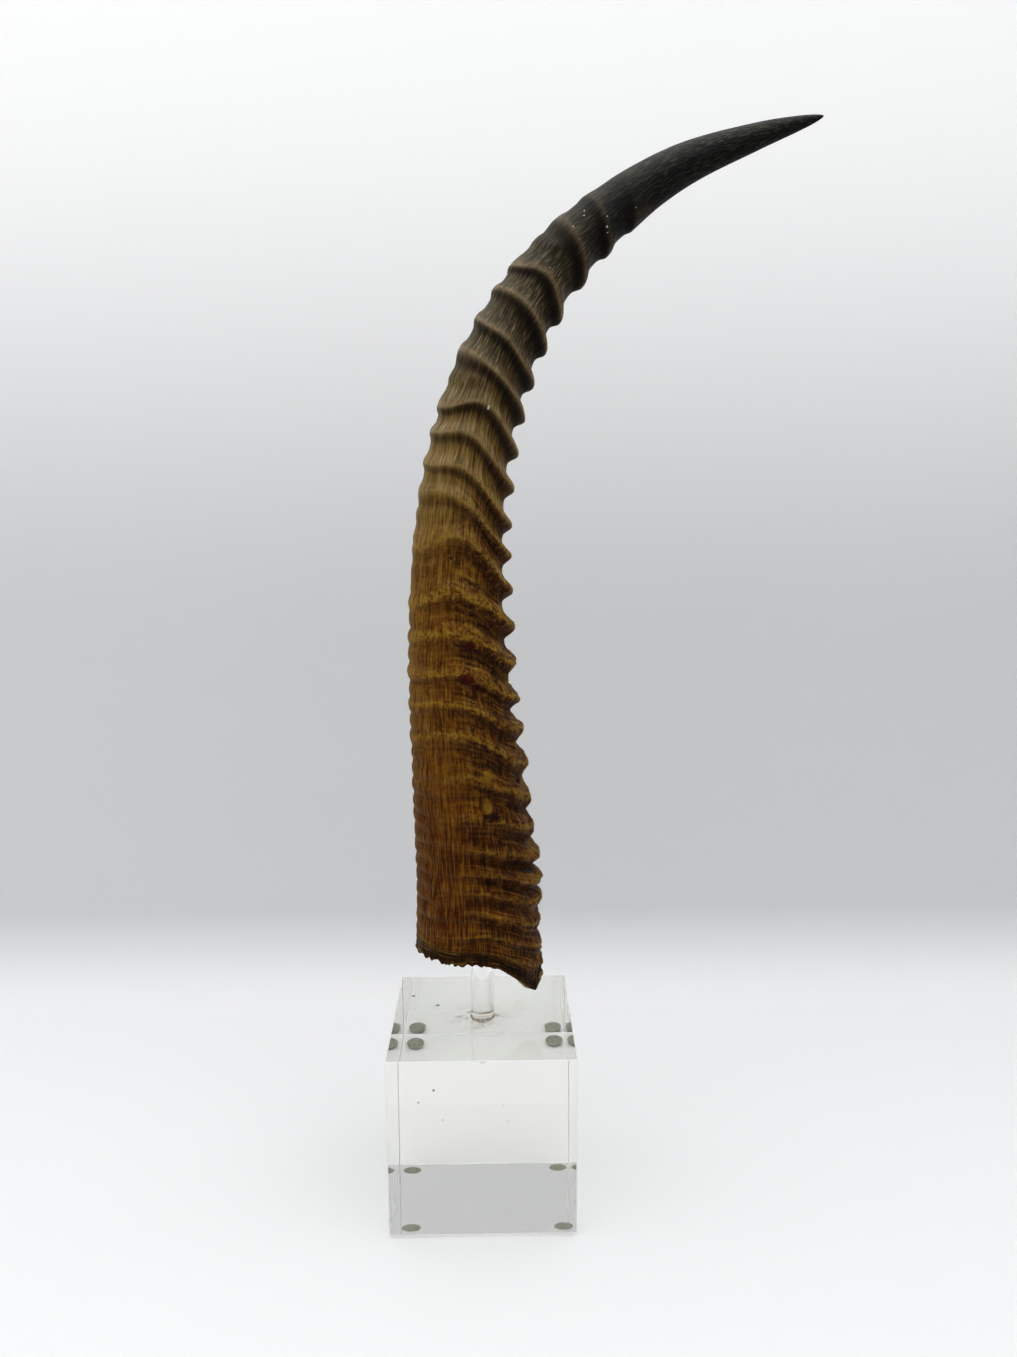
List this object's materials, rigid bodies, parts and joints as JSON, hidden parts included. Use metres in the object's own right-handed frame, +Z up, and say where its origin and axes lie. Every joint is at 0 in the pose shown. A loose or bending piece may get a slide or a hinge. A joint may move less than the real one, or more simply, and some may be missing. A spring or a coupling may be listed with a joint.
{
  "type": "impala horn on a clear acrylic stand",
  "caption": "Ringed, curved antelope horn sheath held upright by a clear acrylic rod in a clear acrylic block on round pads.",
  "frame": {"origin": "on the table, under the middle of the whole object's bounding box; the block's centre lies on the -X side of it", "axes": "+Z up from the table to the horn's tip, +X towards the side that the horn bends to, -Y towards the flat face of the horn that is seen from the front"},
  "size_m": [0.1792, 0.078, 0.4498],
  "materials": {
    "horn": "dull keratin, brown at the base and nearly black at the tip, ringed and finely fibrous",
    "acrylic_rod": "polished clear acrylic",
    "acrylic_block": "polished clear acrylic",
    "pad": "matt grey"
  },
  "bodies": {
    "root": {"horn": "horn", "rod": "acrylic_rod", "block": "acrylic_block", "pad_front_left": "pad", "pad_front_right": "pad", "pad_back_left": "pad", "pad_back_right": "pad"}
  },
  "joints": []
}
